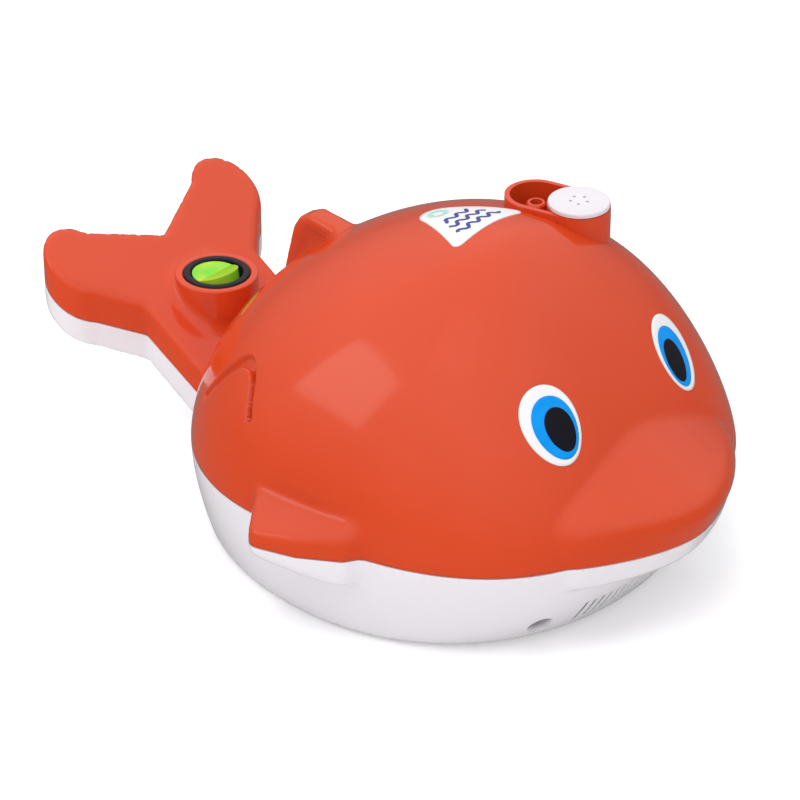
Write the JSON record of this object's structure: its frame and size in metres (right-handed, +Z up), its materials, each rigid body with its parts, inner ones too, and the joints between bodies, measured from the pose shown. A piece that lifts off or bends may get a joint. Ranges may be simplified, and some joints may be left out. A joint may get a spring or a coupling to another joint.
{
  "type": "tabletop nebulizer",
  "caption": "Whale-shaped tabletop compressor nebulizer with a moulded case, a filter cap and air outlet on top, a rocker switch on the tail, and a motor-driven piston pump inside.",
  "frame": {"origin": "on the table under the middle of the outline's bounding box", "axes": "+Z up, +Y from the nose to the tail, +X towards the whale's left flank, where the turret and the mains inlet are"},
  "size_m": [0.1948, 0.2568, 0.1168],
  "materials": {
    "red_plastic": "high gloss moulded",
    "white_plastic": "gloss moulded",
    "eye_print": "glossy printed film",
    "label_print": "glossy printed film",
    "grey_rubber": "matt",
    "black_rubber": "matt",
    "hose_rubber": "satin silicone",
    "steel": "zinc plated",
    "core_steel": "dull laminations",
    "cast_metal": "die cast",
    "brass": "plain",
    "copper": "enamelled copper",
    "pale_plastic": "satin moulded",
    "felt": "pressed felt",
    "black_plastic": "satin moulded",
    "bobbin_plastic": "nylon",
    "green_lens": "translucent",
    "wire_brown": "insulation",
    "wire_blue": "insulation"
  },
  "bodies": {
    "case": {"top_shell": "red_plastic", "turret": "red_plastic", "base_shell": "white_plastic", "eye_left": "eye_print", "eye_right": "eye_print", "label": "label_print", "rubber_feet": "grey_rubber", "case_screws": "steel", "air_outlet": "red_plastic", "switch_bezel": "black_plastic", "switch_body": "black_plastic", "switch_terminals": "brass", "mains_inlet": "black_plastic", "inlet_pins": "brass", "stator_core": "core_steel", "shading_rings": "copper", "coil_bobbin": "bobbin_plastic", "coil_winding": "copper", "coil_terminals": "brass", "front_bracket": "cast_metal", "rear_bracket": "cast_metal", "bushes": "brass", "bracket_screws": "steel", "cylinder": "cast_metal", "valve_plate": "steel", "cylinder_head": "cast_metal", "head_screws": "steel", "air_hose": "hose_rubber", "chassis": "steel", "rubber_mounts": "black_rubber", "wire_live": "wire_brown", "wire_switched": "wire_brown", "wire_neutral": "wire_blue"},
    "filter": {"filter_cap": "pale_plastic", "filter_felt": "felt"},
    "switch_rocker": {"rocker": "green_lens"},
    "motor_rotor": {"motor_shaft": "steel", "rotor": "core_steel", "cooling_fan": "bobbin_plastic", "crank_disc": "cast_metal"},
    "piston_group": {"piston": "cast_metal", "piston_seal": "black_rubber", "wrist_pin": "steel"},
    "rod_group": {"connecting_rod": "cast_metal", "crank_pin": "steel"}
  },
  "joints": [
    {"name": "filter_lift", "type": "slide", "parent": "case", "child": "filter", "axis": [0, 0, 1], "range_m": [0, 0.03]},
    {"name": "rocker_pivot", "type": "hinge", "parent": "case", "child": "switch_rocker", "pos_m": [0, 0.0862, 0.0495], "axis": [1, 0, 0], "range_deg": [0, 18]},
    {"name": "motor_spin", "type": "hinge", "parent": "case", "child": "motor_rotor", "pos_m": [0, 0, 0.04], "axis": [0, 1, 0], "continuous": true},
    {"name": "piston_slide", "type": "slide", "parent": "case", "child": "piston_group", "axis": [1, 0, 0], "range_m": [0, 0.012]},
    {"name": "rod_swing", "type": "hinge", "parent": "piston_group", "child": "rod_group", "pos_m": [0.024, 0.015, 0.04], "axis": [0, 1, 0], "range_deg": [-11.5, 11.5]}
  ]
}
